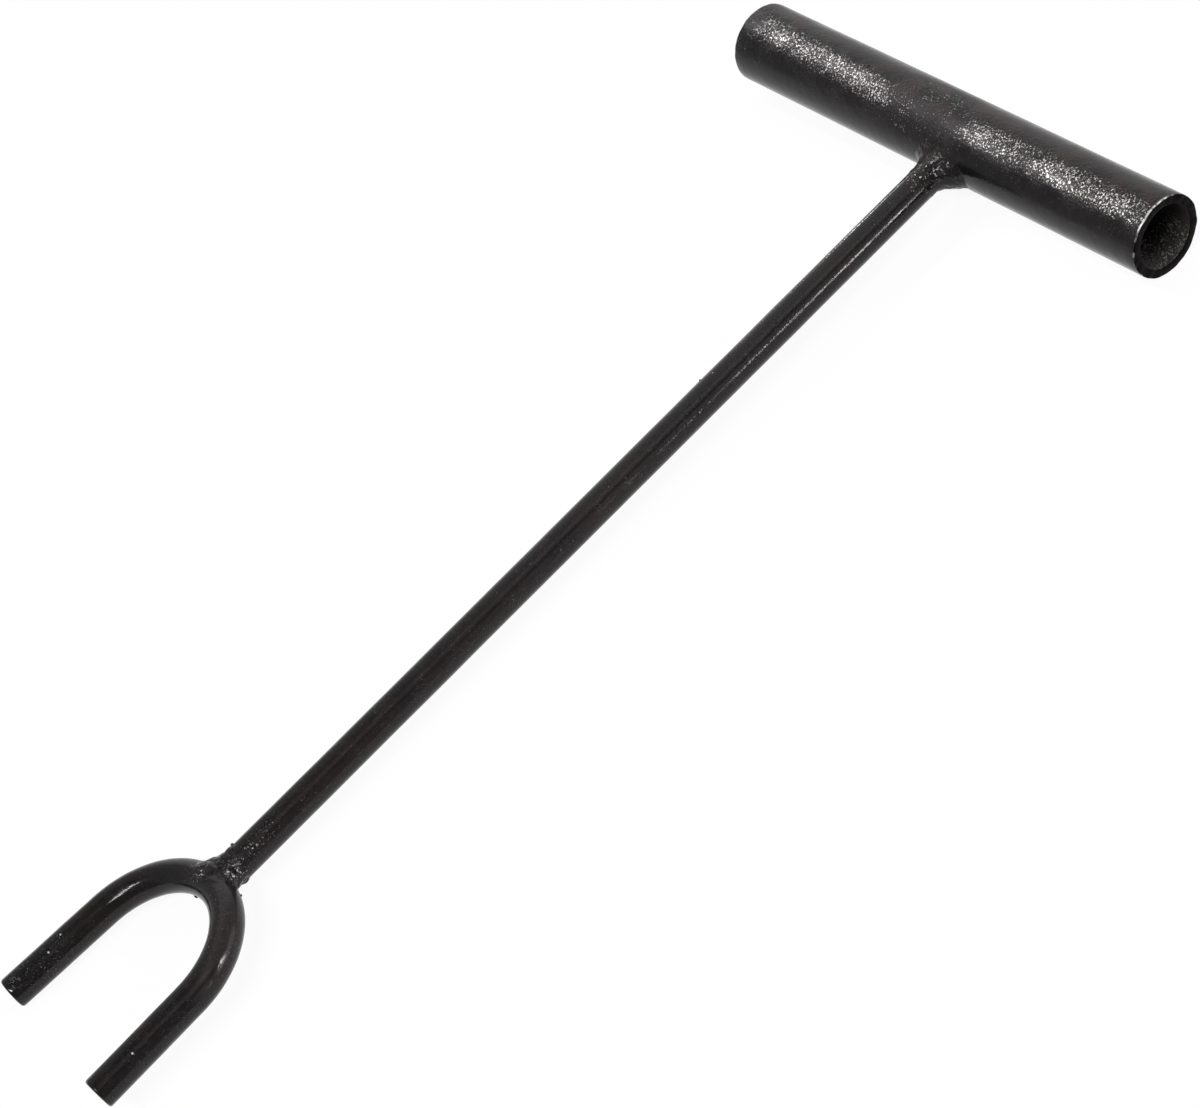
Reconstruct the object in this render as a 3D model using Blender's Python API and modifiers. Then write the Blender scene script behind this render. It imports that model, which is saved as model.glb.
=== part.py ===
"""Two-prong hand fork with a tube T-handle, welded up from steel bar and painted black.

Metres, +Z up. The tool lies at rest on a flat surface: the handle runs along X, the shaft along Y
with the prongs towards -Y, and the handle's underside and the lower prong tip touch Z = 0.
"""

import math

import bmesh
import bpy
from mathutils import Vector

MM = 0.001

# Round bar, the same stock for the shaft and the fork
BAR_DIAMETER = 10.0 * MM

# Tube handle
TUBE_DIAMETER = 25.8 * MM
TUBE_WALL = 2.8 * MM
TUBE_LENGTH = 174.8 * MM
TUBE_EDGE = 0.35 * MM
TUBE_OFF_CENTRE = -5.5 * MM

# Handle axis to the fork's crown, along the shaft and at the bar's centreline
SHAFT_REACH = 316.4 * MM

# Fork, bent at its centreline, and how it was set on the shaft
BEND_RADIUS = 27.7 * MM
BEND_ANGLE = math.radians(174.9)
PRONG_LENGTH = 35.1 * MM
PRONG_EDGE = 0.8 * MM
FORK_ROLL = math.radians(-7.9)
FORK_TILT = math.radians(-1.44)

# Weld fillets: legs up the shaft, legs along the piece it meets, and the blunt toe's height
WELD_TOE = 0.4 * MM
HANDLE_WELD_UP = 5.5 * MM
HANDLE_WELD_LEFT = 5.5 * MM
HANDLE_WELD_RIGHT = 8.0 * MM
HANDLE_WELD_SIDE = 3.6 * MM
FORK_WELD_UP_LEFT = 4.5 * MM
FORK_WELD_UP_RIGHT = 2.0 * MM
FORK_WELD_LEFT = 9.0 * MM
FORK_WELD_RIGHT = 4.0 * MM
FORK_WELD_SIDE = 0.5 * MM
FORK_WELD_DEPTH = 1.5 * MM
WELD_ROOT = 2.0 * MM

# Clearance left between pieces that touch
SEAT_GAP = 0.3 * MM

# Facets
TUBE_SIDES = 64
BAR_SIDES = 40
BEND_STEPS = 28
WELD_SIDES = 48
WELD_STEPS = 7
EDGE_STEPS = 2
MERGE = 0.01 * MM
SHARP = math.radians(50.0)
REST_STEPS = 60

# Paint
BLACK = (0.013, 0.012, 0.013, 1.0)
WELD_BLACK = (0.016, 0.015, 0.014, 1.0)
PAINT_ROUGHNESS = 0.34
WELD_ROUGHNESS = 0.42

BAR_RADIUS = BAR_DIAMETER / 2
TUBE_RADIUS = TUBE_DIAMETER / 2
BORE_RADIUS = TUBE_RADIUS - TUBE_WALL
SHAFT_TOP = TUBE_RADIUS + SEAT_GAP
SHAFT_END = SHAFT_REACH - BAR_RADIUS - SEAT_GAP
RIGHT_ANGLE = math.pi / 2


def clear_scene():
    """Removes every object of the startup scene."""
    for old in list(bpy.data.objects):
        bpy.data.objects.remove(old)


def make_collection(name):
    """A collection linked to the scene."""
    collection = bpy.data.collections.new(name)
    bpy.context.scene.collection.children.link(collection)
    return collection


def make_paint(name, colour, roughness):
    """A painted steel finish."""
    paint = bpy.data.materials.new(name)
    paint.use_nodes = True
    shader = paint.node_tree.nodes["Principled BSDF"]
    shader.inputs["Base Color"].default_value = colour
    shader.inputs["Roughness"].default_value = roughness
    shader.inputs["Metallic"].default_value = 0.0
    paint.diffuse_color = colour
    return paint


def make_object(name, mesh, collection, root=None, paint=None):
    """An object for this mesh in this collection, carried by the root."""
    piece = bpy.data.objects.new(name, mesh)
    collection.objects.link(piece)
    piece.parent = root
    if paint:
        give_paint(piece, paint)
    return piece


def give_paint(piece, paint):
    """Paints a piece and shades it smooth."""
    piece.data.materials.clear()
    piece.data.materials.append(paint)
    for face in piece.data.polygons:
        face.use_smooth = True


def mesh_from(name, bm):
    """Writes the bmesh to a new mesh with its faces turned outwards."""
    bmesh.ops.recalc_face_normals(bm, faces=bm.faces)
    mesh = bpy.data.meshes.new(name)
    bm.to_mesh(mesh)
    bm.free()
    return mesh


def add_edge_bevel(piece, width):
    """Rounds the sharp edges of a piece."""
    bevel = piece.modifiers.new("edge", "BEVEL")
    bevel.width = width
    bevel.segments = EDGE_STEPS
    bevel.limit_method = "ANGLE"
    bevel.angle_limit = SHARP


def turned_mesh(name, outer, inner, length):
    """Mesh of a ring profile about Z, its outer side running from top to bottom."""
    top = length / 2
    profile = [(outer, top), (outer, -top), (inner, -top), (inner, top)]
    bm = bmesh.new()
    corners = [bm.verts.new((radius, 0.0, height)) for radius, height in profile]
    for here, after in zip(corners, corners[1:] + corners[:1]):
        bm.edges.new((here, after))
    mesh = bpy.data.meshes.new(name)
    bm.to_mesh(mesh)
    bm.free()
    return mesh


def add_screw(piece, sides):
    """Turns a profile once about Z."""
    screw = piece.modifiers.new("turn", "SCREW")
    screw.axis = "Z"
    screw.angle = 2 * math.pi
    screw.steps = sides
    screw.render_steps = sides
    screw.use_merge_vertices = True
    screw.merge_threshold = MERGE
    screw.use_smooth_shade = True


def bar_mesh(name, radius, length):
    """Mesh of a round bar along Z, centred."""
    bm = bmesh.new()
    bmesh.ops.create_cone(bm, cap_ends=True, segments=BAR_SIDES, radius1=radius, radius2=radius, depth=length)
    return mesh_from(name, bm)


def bend_path():
    """Centreline of the fork from one prong tip over the crown to the other, crown at the origin."""
    half = BEND_ANGLE / 2
    centre = Vector((0.0, -BEND_RADIUS, 0.0))
    arc = []
    for step in range(BEND_STEPS + 1):
        turn = half * (2 * step / BEND_STEPS - 1)
        arc.append(centre + BEND_RADIUS * Vector((math.sin(turn), math.cos(turn), 0.0)))
    left = Vector((-math.cos(half), -math.sin(half), 0.0)) * PRONG_LENGTH
    right = Vector((math.cos(half), -math.sin(half), 0.0)) * PRONG_LENGTH
    return [arc[0] + left] + arc + [arc[-1] + right]


def bent_bar(name, radius, collection, root):
    """A bar of this radius swept along the fork's centreline, as a closed mesh."""
    curve = bpy.data.curves.new(name, "CURVE")
    curve.dimensions = "3D"
    curve.bevel_depth = radius
    curve.bevel_resolution = (BAR_SIDES - 4) // 2
    curve.use_fill_caps = True
    path = bend_path()
    spline = curve.splines.new("POLY")
    spline.points.add(len(path) - 1)
    for point, place in zip(spline.points, path):
        point.co = (*place, 1.0)
    guide = make_object(name + "_path", curve, collection)
    bpy.context.view_layer.update()
    graph = bpy.context.evaluated_depsgraph_get()
    swept = bpy.data.meshes.new_from_object(guide.evaluated_get(graph))
    bpy.data.objects.remove(guide)
    bm = bmesh.new()
    bm.from_mesh(swept)
    bmesh.ops.remove_doubles(bm, verts=bm.verts, dist=MERGE)
    piece = make_object(name, mesh_from(name, bm), collection, root)
    piece.rotation_mode = "ZYX"
    piece.location = (0.0, -SHAFT_REACH, 0.0)
    piece.rotation_euler = (0.0, FORK_ROLL, FORK_TILT)
    return piece


def lofted_mesh(name, rings):
    """Closed mesh through rings of points, with a fan of faces over each end."""
    bm = bmesh.new()
    loops = []
    for ring in rings:
        corners = [bm.verts.new(point) for point in ring]
        loops.append([bm.edges.new(pair) for pair in zip(corners, corners[1:] + corners[:1])])
    for here, after in zip(loops, loops[1:]):
        bmesh.ops.bridge_loops(bm, edges=here + after)
    for loop in (loops[0], loops[-1]):
        cap = bmesh.ops.edgeloop_fill(bm, edges=loop)["faces"]
        bmesh.ops.poke(bm, faces=cap)
    return mesh_from(name, bm)


def swell(turn, right, left, side):
    """A weld leg at this angle round the shaft, blending the end value into the side value."""
    end = right if math.cos(turn) > 0 else left
    return side + (end - side) * math.cos(turn) ** 2


def ring_angles():
    """The angles round the shaft at which a weld is drawn."""
    return [2 * math.pi * step / WELD_SIDES for step in range(WELD_SIDES)]


def fillet(step):
    """Shares (outwards, down) of a hollow fillet's legs at this step from the shaft to its toe."""
    turn = RIGHT_ANGLE * step / WELD_STEPS
    return 1 - math.cos(turn), math.sin(turn)


def handle_weld_rings():
    """Rings of the fillet from the shaft down on to the tube's saddle, then into the tube."""
    rings = []
    start = BAR_RADIUS + WELD_TOE
    for step in range(WELD_STEPS + 1):
        out, down = fillet(step)
        ring = []
        for turn in ring_angles():
            leg = swell(turn, HANDLE_WELD_RIGHT, HANDLE_WELD_LEFT, HANDLE_WELD_SIDE)
            toe = (start + leg) * math.sin(turn)
            low = math.sqrt(TUBE_RADIUS ** 2 - toe ** 2) + WELD_TOE + SEAT_GAP
            high = TUBE_RADIUS + HANDLE_WELD_UP
            reach = start + leg * out
            drop = high + (low - high) * down
            ring.append((reach * math.cos(turn), -drop, reach * math.sin(turn)))
        rings.append(ring)
    rings.append([(x, y + WELD_ROOT, z) for x, y, z in rings[-1]])
    return rings


def fork_weld_rings():
    """Rings of the fillet from the shaft down over the fork's crown, heavier on the left arm."""
    rings = []
    start = BAR_RADIUS + WELD_TOE
    for step in range(WELD_STEPS + 1):
        out, down = fillet(step)
        ring = []
        for turn in ring_angles():
            leg = swell(turn, FORK_WELD_RIGHT, FORK_WELD_LEFT, FORK_WELD_SIDE)
            middle = (FORK_WELD_UP_RIGHT + FORK_WELD_UP_LEFT) / 2
            high = BAR_RADIUS + middle + (FORK_WELD_UP_RIGHT - middle) * math.cos(turn)
            reach = start + leg * out
            rise = high - (high + FORK_WELD_DEPTH) * down
            ring.append((reach * math.cos(turn), rise, reach * math.sin(turn)))
        rings.append(ring)
    rings.append([(x, y - WELD_ROOT, z) for x, y, z in rings[-1]])
    return rings


def add_cut(piece, cutter):
    """Takes the cutter's shape out of the piece."""
    cut = piece.modifiers.new(cutter.name, "BOOLEAN")
    cut.operation = "DIFFERENCE"
    cut.solver = "EXACT"
    cut.object = cutter


def make_cutter(name, mesh, collection, root):
    """A hidden solid for cutting."""
    cutter = make_object(name, mesh, collection, root)
    cutter.hide_render = True
    cutter.display_type = "WIRE"
    return cutter


def lowest_height(points, lean):
    """Lowest Z of these points once turned about the handle's axis."""
    return min(point.y * math.sin(lean) + point.z * math.cos(lean) for point in points)


def rest_lean(points):
    """The angle about the handle at which the lower prong comes down level with the tube's underside."""
    level = 0.0
    steep = math.atan2(TUBE_RADIUS, SHAFT_REACH)
    for _ in range(REST_STEPS):
        lean = (level + steep) / 2
        if lowest_height(points, lean) > -TUBE_RADIUS:
            level = lean
        else:
            steep = lean
    return (level + steep) / 2


def set_down(root, fork):
    """Lays the tool on Z = 0 with its box centred on the origin in X and Y."""
    bpy.context.view_layer.update()
    graph = bpy.context.evaluated_depsgraph_get()
    points = [fork.matrix_world @ vertex.co for vertex in fork.evaluated_get(graph).data.vertices]
    lean = rest_lean(points)
    reach = min(point.y * math.cos(lean) - point.z * math.sin(lean) for point in points)
    root.rotation_euler = (lean, 0.0, 0.0)
    root.location = (-TUBE_OFF_CENTRE, -(reach + TUBE_RADIUS) / 2, TUBE_RADIUS)


def build():
    """Builds every piece on the tool's root and lays the tool down."""
    clear_scene()
    parts = make_collection("two_prong_fork")
    cutters = make_collection("cutters")
    cutters.hide_render = True
    root = bpy.data.objects.new("tool_root", None)
    parts.objects.link(root)

    tube = make_object(
        "handle_tube", turned_mesh("handle_tube", TUBE_RADIUS, BORE_RADIUS, TUBE_LENGTH), parts, root,
        make_paint("handle_paint", BLACK, PAINT_ROUGHNESS))
    tube.location = (TUBE_OFF_CENTRE, 0.0, 0.0)
    tube.rotation_euler = (0.0, RIGHT_ANGLE, 0.0)
    add_screw(tube, TUBE_SIDES)
    add_edge_bevel(tube, TUBE_EDGE)

    shaft = make_object(
        "shaft_rod", bar_mesh("shaft_rod", BAR_RADIUS, SHAFT_END - SHAFT_TOP), parts, root,
        make_paint("shaft_paint", BLACK, PAINT_ROUGHNESS))
    shaft.location = (0.0, -(SHAFT_TOP + SHAFT_END) / 2, 0.0)
    shaft.rotation_euler = (RIGHT_ANGLE, 0.0, 0.0)

    fork = bent_bar("fork_prongs", BAR_RADIUS, parts, root)
    give_paint(fork, make_paint("fork_paint", BLACK, PAINT_ROUGHNESS))
    add_edge_bevel(fork, PRONG_EDGE)

    tube_room = make_cutter(
        "tube_room", bar_mesh("tube_room", TUBE_RADIUS + SEAT_GAP, TUBE_LENGTH), cutters, root)
    tube_room.rotation_euler = (0.0, RIGHT_ANGLE, 0.0)
    through_room = make_cutter(
        "through_room", bar_mesh("through_room", BAR_RADIUS + SEAT_GAP, 2 * SHAFT_REACH), cutters, root)
    through_room.rotation_euler = (RIGHT_ANGLE, 0.0, 0.0)
    shaft_room = make_cutter(
        "shaft_room", bar_mesh("shaft_room", BAR_RADIUS + SEAT_GAP, SHAFT_END + SEAT_GAP), cutters, root)
    shaft_room.location = (0.0, -(SHAFT_END + SEAT_GAP) / 2, 0.0)
    shaft_room.rotation_euler = (RIGHT_ANGLE, 0.0, 0.0)
    fork_room = bent_bar("fork_room", BAR_RADIUS + SEAT_GAP, cutters, root)
    fork_room.hide_render = True
    fork_room.display_type = "WIRE"

    handle_weld = make_object(
        "handle_weld", lofted_mesh("handle_weld", handle_weld_rings()), parts, root,
        make_paint("handle_weld_paint", WELD_BLACK, WELD_ROUGHNESS))
    add_cut(handle_weld, tube_room)
    add_cut(handle_weld, through_room)

    fork_weld = make_object(
        "fork_weld", lofted_mesh("fork_weld", fork_weld_rings()), parts, root,
        make_paint("fork_weld_paint", WELD_BLACK, WELD_ROUGHNESS))
    fork_weld.location = (0.0, -SHAFT_REACH, 0.0)
    fork_weld.rotation_euler = (0.0, FORK_ROLL, 0.0)
    add_cut(fork_weld, fork_room)
    add_cut(fork_weld, shaft_room)

    set_down(root, fork)


build()
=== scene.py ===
"""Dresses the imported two-prong hand fork in black paint and sets it on a pale studio floor.

Every piece is built in the tool's own axes, with the handle along X and the shaft along -Y from the
handle's middle line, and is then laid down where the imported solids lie. Sizes are in metres.
"""

import logging
import math
from dataclasses import dataclass, field, replace
from enum import Enum
from typing import Any, Callable, ClassVar, Mapping, Optional, Sequence, Union

import bmesh
import bpy
from bmesh.types import BMEdge, BMesh, BMVert
from mathutils import Matrix, Vector, noise


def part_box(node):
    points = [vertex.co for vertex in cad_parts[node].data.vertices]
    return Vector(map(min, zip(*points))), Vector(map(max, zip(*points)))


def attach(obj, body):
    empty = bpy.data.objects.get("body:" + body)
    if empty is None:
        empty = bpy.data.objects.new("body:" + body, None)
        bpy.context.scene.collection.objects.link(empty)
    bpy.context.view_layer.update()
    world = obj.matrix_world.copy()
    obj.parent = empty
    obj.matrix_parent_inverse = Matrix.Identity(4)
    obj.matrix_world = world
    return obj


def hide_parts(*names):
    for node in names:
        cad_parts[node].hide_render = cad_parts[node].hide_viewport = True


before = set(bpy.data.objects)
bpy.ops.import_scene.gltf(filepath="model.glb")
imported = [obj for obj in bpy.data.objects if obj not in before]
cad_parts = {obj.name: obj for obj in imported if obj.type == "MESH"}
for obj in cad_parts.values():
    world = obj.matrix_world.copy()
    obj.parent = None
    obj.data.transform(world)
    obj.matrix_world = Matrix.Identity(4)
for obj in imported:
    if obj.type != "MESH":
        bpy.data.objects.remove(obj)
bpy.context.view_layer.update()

LOG = logging.getLogger("hand_fork")
BODY = "root"
MM = 0.001
SEAM = 0.0002 * MM
MERGE = 0.002 * MM
SLACK = 0.001 * MM
WHITE = (1.0, 1.0, 1.0, 1.0)
ORIGIN = (0.0, 0.0, 0.0)
ALONG_HANDLE = Matrix.Rotation(math.pi / 2, 4, "Y")
ALONG_SHAFT = Matrix.Rotation(math.pi / 2, 4, "X")
Colour = tuple[float, float, float, float]
Place = tuple[float, float, float]
Span = tuple[float, float]


class Axis(Enum):
    """The tool's own axes."""

    HANDLE = Vector((1.0, 0.0, 0.0))
    SHAFT = Vector((0.0, 1.0, 0.0))
    UP = Vector((0.0, 0.0, 1.0))


def mm(*lengths: float) -> tuple[float, ...]:
    """Lengths in millimetres, as metres."""
    return tuple(length * MM for length in lengths)


class Value:
    """A shader socket that Python's operators work on."""

    def __init__(self, graph: "Graph", socket: bpy.types.NodeSocket) -> None:
        """Keeps the socket and the graph that it belongs to."""
        self.graph = graph
        self.socket = socket

    def __add__(self, other: "Number") -> "Value":
        """Sum."""
        return self.graph.maths("ADD", self, other)

    __radd__ = __add__

    def __sub__(self, other: "Number") -> "Value":
        """Difference."""
        return self.graph.maths("SUBTRACT", self, other)

    def __rsub__(self, other: float) -> "Value":
        """Difference."""
        return self.graph.maths("SUBTRACT", other, self)

    def __mul__(self, other: "Number") -> "Value":
        """Product."""
        return self.graph.maths("MULTIPLY", self, other)

    __rmul__ = __mul__

    def __pow__(self, other: "Number") -> "Value":
        """Power."""
        return self.graph.maths("POWER", self, other)

    def __abs__(self) -> "Value":
        """Size without its sign."""
        return self.graph.maths("ABSOLUTE", self)

    def fade(self, low: float, high: float) -> "Value":
        """A smooth step from 0 to 1 between two levels.

        Args:
            low: The level at which the step is 0.
            high: The level at which the step is 1, which may lie below low.

        Returns:
            The step, clamped.
        """
        levels = {"Value": self, "From Min": low, "From Max": high, "To Min": 0.0, "To Max": 1.0}
        return self.graph.value("Result", "ShaderNodeMapRange", {"interpolation_type": "SMOOTHSTEP"}, levels)

    def between(self, low: float, high: float) -> "Value":
        """Turns 0 into low and 1 into high."""
        return low + (high - low) * self


Number = Union[Value, float]


class Graph:
    """The node tree of one finish."""

    def __init__(self, tree: bpy.types.NodeTree) -> None:
        """Empties the tree."""
        self.tree = tree
        tree.nodes.clear()

    def node(
        self,
        kind: str,
        settings: Optional[Mapping[str, Any]] = None,
        inputs: Optional[Mapping[Any, Any]] = None,
    ) -> bpy.types.Node:
        """Adds a node.

        Args:
            kind: The node's type.
            settings: The node's properties, which are set first.
            inputs: Values or links by socket name or number.

        Returns:
            The node.
        """
        made = self.tree.nodes.new(kind)
        for name, setting in (settings or {}).items():
            setattr(made, name, setting)
        for name, given in (inputs or {}).items():
            if isinstance(given, Value):
                self.tree.links.new(given.socket, made.inputs[name])
            else:
                made.inputs[name].default_value = given
        return made

    def value(self, output: Union[int, str], *node: Any) -> Value:
        """One output, by name or number, of a new node with these settings."""
        return Value(self, self.node(*node).outputs[output])

    def maths(self, operation: str, first: Number, second: Number = 0.0) -> Value:
        """A Math node on one or two numbers."""
        return self.value(0, "ShaderNodeMath", {"operation": operation}, {0: first, 1: second})

    def mixed(self, share: Number, first: Union[Value, Colour], second: Union[Value, Colour]) -> Value:
        """A blend of two colours, with this share of the second one."""
        return self.value(2, "ShaderNodeMix", {"data_type": "RGBA"}, {0: share, 6: first, 7: second})

    def parts(self, vector: Value) -> list[Value]:
        """The X, Y and Z of a vector."""
        return [Value(self, part) for part in self.node("ShaderNodeSeparateXYZ", {}, {0: vector}).outputs]


@dataclass(frozen=True)
class Stock:
    """Sizes that several pieces share."""

    bar: float = 5.0 * MM
    tube: float = 12.9 * MM
    reach: float = 316.4 * MM
    off_centre: float = -5.5 * MM
    lean: float = math.radians(0.558)

    def rest(self) -> Matrix:
        """Where the tool lies.

        Returns:
            The tool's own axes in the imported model.
        """
        low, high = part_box("handle_tube")
        middle = (low + high) / 2
        middle.x -= self.off_centre
        return Matrix.Translation(middle) @ Matrix.Rotation(self.lean, 4, "X")

    def laid(self, place: Place) -> Vector:
        """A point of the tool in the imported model."""
        return self.rest() @ Vector(place)


STOCK = Stock()


@dataclass(frozen=True)
class Mark:
    """Something that lies on the paint or shows through it."""

    colour: Union[Value, Colour]
    rough: float


@dataclass(frozen=True)
class Spot:
    """A round place on the tool, whole at the near distance from its middle and gone at the far one."""

    middle: Place
    near: float
    far: float


@dataclass(frozen=True)
class SpeckPatch(Spot):
    """A round place with specks, from about level 0.5 for many to 0.8 for hardly any, and their spacing."""

    level: float
    size: float


@dataclass(frozen=True)
class BlackPaint:
    """Glossy black paint over steel, broken up by grain, orange peel, dust and pits."""

    name: str
    black: Colour = (0.0030, 0.0025, 0.0029, 1.0)
    brown: Colour = (0.0100, 0.0062, 0.0046, 1.0)
    dust: Mark = Mark((0.22, 0.215, 0.21, 1.0), 0.40)
    haze: Colour = (0.034, 0.033, 0.034, 1.0)
    film: float = 0.25
    film_size: float = 0.8 * MM
    chip: Mark = Mark((0.45, 0.44, 0.43, 1.0), 0.35)
    gloss: float = 0.20
    gloss_spread: float = 0.12
    blotch_size: float = 26.0 * MM
    patch_size: float = 7.0 * MM
    grain_size: float = 0.60 * MM
    grain_height: float = 0.10 * MM
    peel_size: float = 2.6 * MM
    peel_height: float = 0.10 * MM
    lump_size: float = 9.0 * MM
    lump_height: float = 0.12 * MM
    pit_size: float = 5.5 * MM
    pit_depth: float = 0.06 * MM
    speck_size: float = 0.55 * MM
    speck_level: float = 0.64
    speck_step: float = 0.07
    shade_size: float = 0.9 * MM
    wrinkle_size: float = 3.4 * MM
    wrinkle_share: float = 0.30
    heat_dull: float = 0.08
    heat_smooth: float = 0.6
    ior: float = 1.34
    tint: Colour = (1.0, 0.945, 0.975, 1.0)

    def material(self, dress: Callable[["Coat"], None]) -> bpy.types.Material:
        """Makes the paint.

        Args:
            dress: Adds a piece's own marks to the coat before it is joined up.

        Returns:
            The material.
        """
        made = bpy.data.materials.new(self.name)
        made.use_nodes = True
        coat = Coat(self, Graph(made.node_tree))
        dress(coat)
        coat.join()
        return made


class Coat:
    """The layers of a coat of paint while a material is being made."""

    def __init__(self, paint: BlackPaint, graph: Graph) -> None:
        """Lays the plain coat.

        Args:
            paint: The paint's settings.
            graph: The material's nodes.
        """
        self.paint = paint
        self.graph = graph
        self.where = graph.value("Object", "ShaderNodeTexCoord")
        self.blotch = self.cloud(paint.blotch_size, 4.0, 0.6)
        self.patch = self.cloud(paint.patch_size, 3.0, 0.55)
        self.colour = graph.mixed(self.blotch.fade(0.40, 0.68), paint.black, paint.brown)
        film = self.cloud(paint.film_size, 4.0, 0.7).fade(0.50, 0.70) * paint.film
        film = film * self.patch.fade(0.40, 0.60).between(0.35, 1.0)
        self.colour = graph.mixed(film, self.colour, paint.haze)
        self.rough: Number = paint.gloss + paint.gloss_spread * self.patch.fade(0.30, 0.75)
        self.coarse: Number = self.patch.fade(0.35, 0.65).between(0.55, 1.45)
        self.metal: Number = 0.0
        self.specks(self.patch.fade(0.40, 0.62), paint.speck_level, paint.speck_size, paint.dust)

    def cloud(self, size: float, detail: float, roughness: float) -> Value:
        """Soft noise over the piece.

        Args:
            size: The width of its lumps.
            detail: Octaves of finer lumps.
            roughness: Strength of the finer lumps.

        Returns:
            Noise about a half.
        """
        look = {"Vector": self.where, "Scale": 1.0 / size, "Detail": detail, "Roughness": roughness}
        return self.graph.value(0, "ShaderNodeTexNoise", {"noise_dimensions": "3D"}, look)

    def grit(self, size: float) -> Value:
        """Crisp noise over the piece, for specks and flecks."""
        return self.cloud(size, 3.0, 0.75)

    def spot(self, spot: Spot) -> Value:
        """Masks a spot.

        Args:
            spot: Where it lies.

        Returns:
            1 near its middle and 0 away from it.
        """
        ends = {0: self.where, 1: tuple(STOCK.laid(spot.middle))}
        away = self.graph.value("Value", "ShaderNodeVectorMath", {"operation": "DISTANCE"}, ends)
        return away.fade(spot.far, spot.near)

    def stain(self, mask: Value, mark: Mark) -> None:
        """Covers the paint with something dull, such as rust or scale."""
        self.colour = self.graph.mixed(mask, self.colour, mark.colour)
        self.rough = self.rough + mask * (mark.rough - self.rough)

    def bare(self, mask: Value, mark: Mark) -> None:
        """Shows steel where the paint has gone, or near-black metal where shade is painted."""
        self.stain(mask, mark)
        self.metal = self.metal + mask

    def specks(self, mask: Value, level: float, size: float, mark: Mark) -> None:
        """Scatters pale specks over the paint.

        Args:
            mask: Where they may lie.
            level: From about 0.5 for many to 0.8 for hardly any.
            size: Their spacing.
            mark: What they look like.
        """
        grit = self.grit(size).fade(level, level + self.paint.speck_step)
        shade = self.cloud(self.paint.shade_size, 1.0, 0.5).fade(0.40, 0.64).between(0.25, 1.0)
        self.stain(mask * grit * shade, mark)

    def speck_patch(self, patch: SpeckPatch, mark: Mark) -> None:
        """Scatters specks over a round place."""
        self.specks(self.spot(patch), patch.level, patch.size, mark)

    def chips(self, middles: Sequence[Place], size: float) -> None:
        """Chips small bright dots of this width out of the paint."""
        for middle in middles:
            self.stain(self.spot(Spot(middle, 0.38 * size, 0.62 * size)), self.paint.chip)

    def wrinkle(self, spot: Spot) -> None:
        """Draws fine pale wrinkles where the paint has puckered.

        Args:
            spot: Where they lie.
        """
        wave = self.cloud(self.paint.wrinkle_size, 3.0, 0.65)
        crease = abs(wave - 0.5).fade(0.035, 0.010) * self.spot(spot) * self.paint.wrinkle_share
        self.stain(crease, self.paint.dust)

    def heat(self, spot: Spot) -> None:
        """Dulls and smooths the paint round a weld.

        Args:
            spot: Where the weld has heated it.
        """
        mask = self.spot(spot) * self.blotch.fade(0.20, 0.50)
        self.rough = self.rough + self.paint.heat_dull * mask
        self.coarse = self.coarse * (1.0 - self.paint.heat_smooth * mask)

    def relief(self) -> Value:
        """Adds up the coat's grain, orange peel, lumps and pits.

        Returns:
            The coat's height.
        """
        paint = self.paint
        grain = self.cloud(paint.grain_size, 2.0, 0.6)
        peel = self.cloud(paint.peel_size, 2.0, 0.5)
        lump = self.cloud(paint.lump_size, 1.0, 0.4)
        scatter = {"Vector": self.where, "Scale": 1.0 / paint.pit_size}
        cells = self.graph.value("Distance", "ShaderNodeTexVoronoi", {"feature": "F1"}, scatter)
        pit = cells.fade(0.09, 0.02)
        fine = grain * self.coarse * paint.grain_height + peel * paint.peel_height
        return fine + lump * paint.lump_height - pit * paint.pit_depth

    def join(self) -> None:
        """Joins the layers to the shader."""
        bump = {"Strength": 1.0, "Distance": 1.0, "Height": self.relief()}
        layers = {
            "Base Color": self.colour,
            "Roughness": self.rough,
            "Metallic": self.metal,
            "IOR": self.paint.ior,
            "Specular Tint": self.paint.tint,
            "Normal": self.graph.value(0, "ShaderNodeBump", {}, bump),
        }
        shader = self.graph.value(0, "ShaderNodeBsdfPrincipled", {}, layers)
        self.graph.node("ShaderNodeOutputMaterial", {}, {"Surface": shader})


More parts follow.
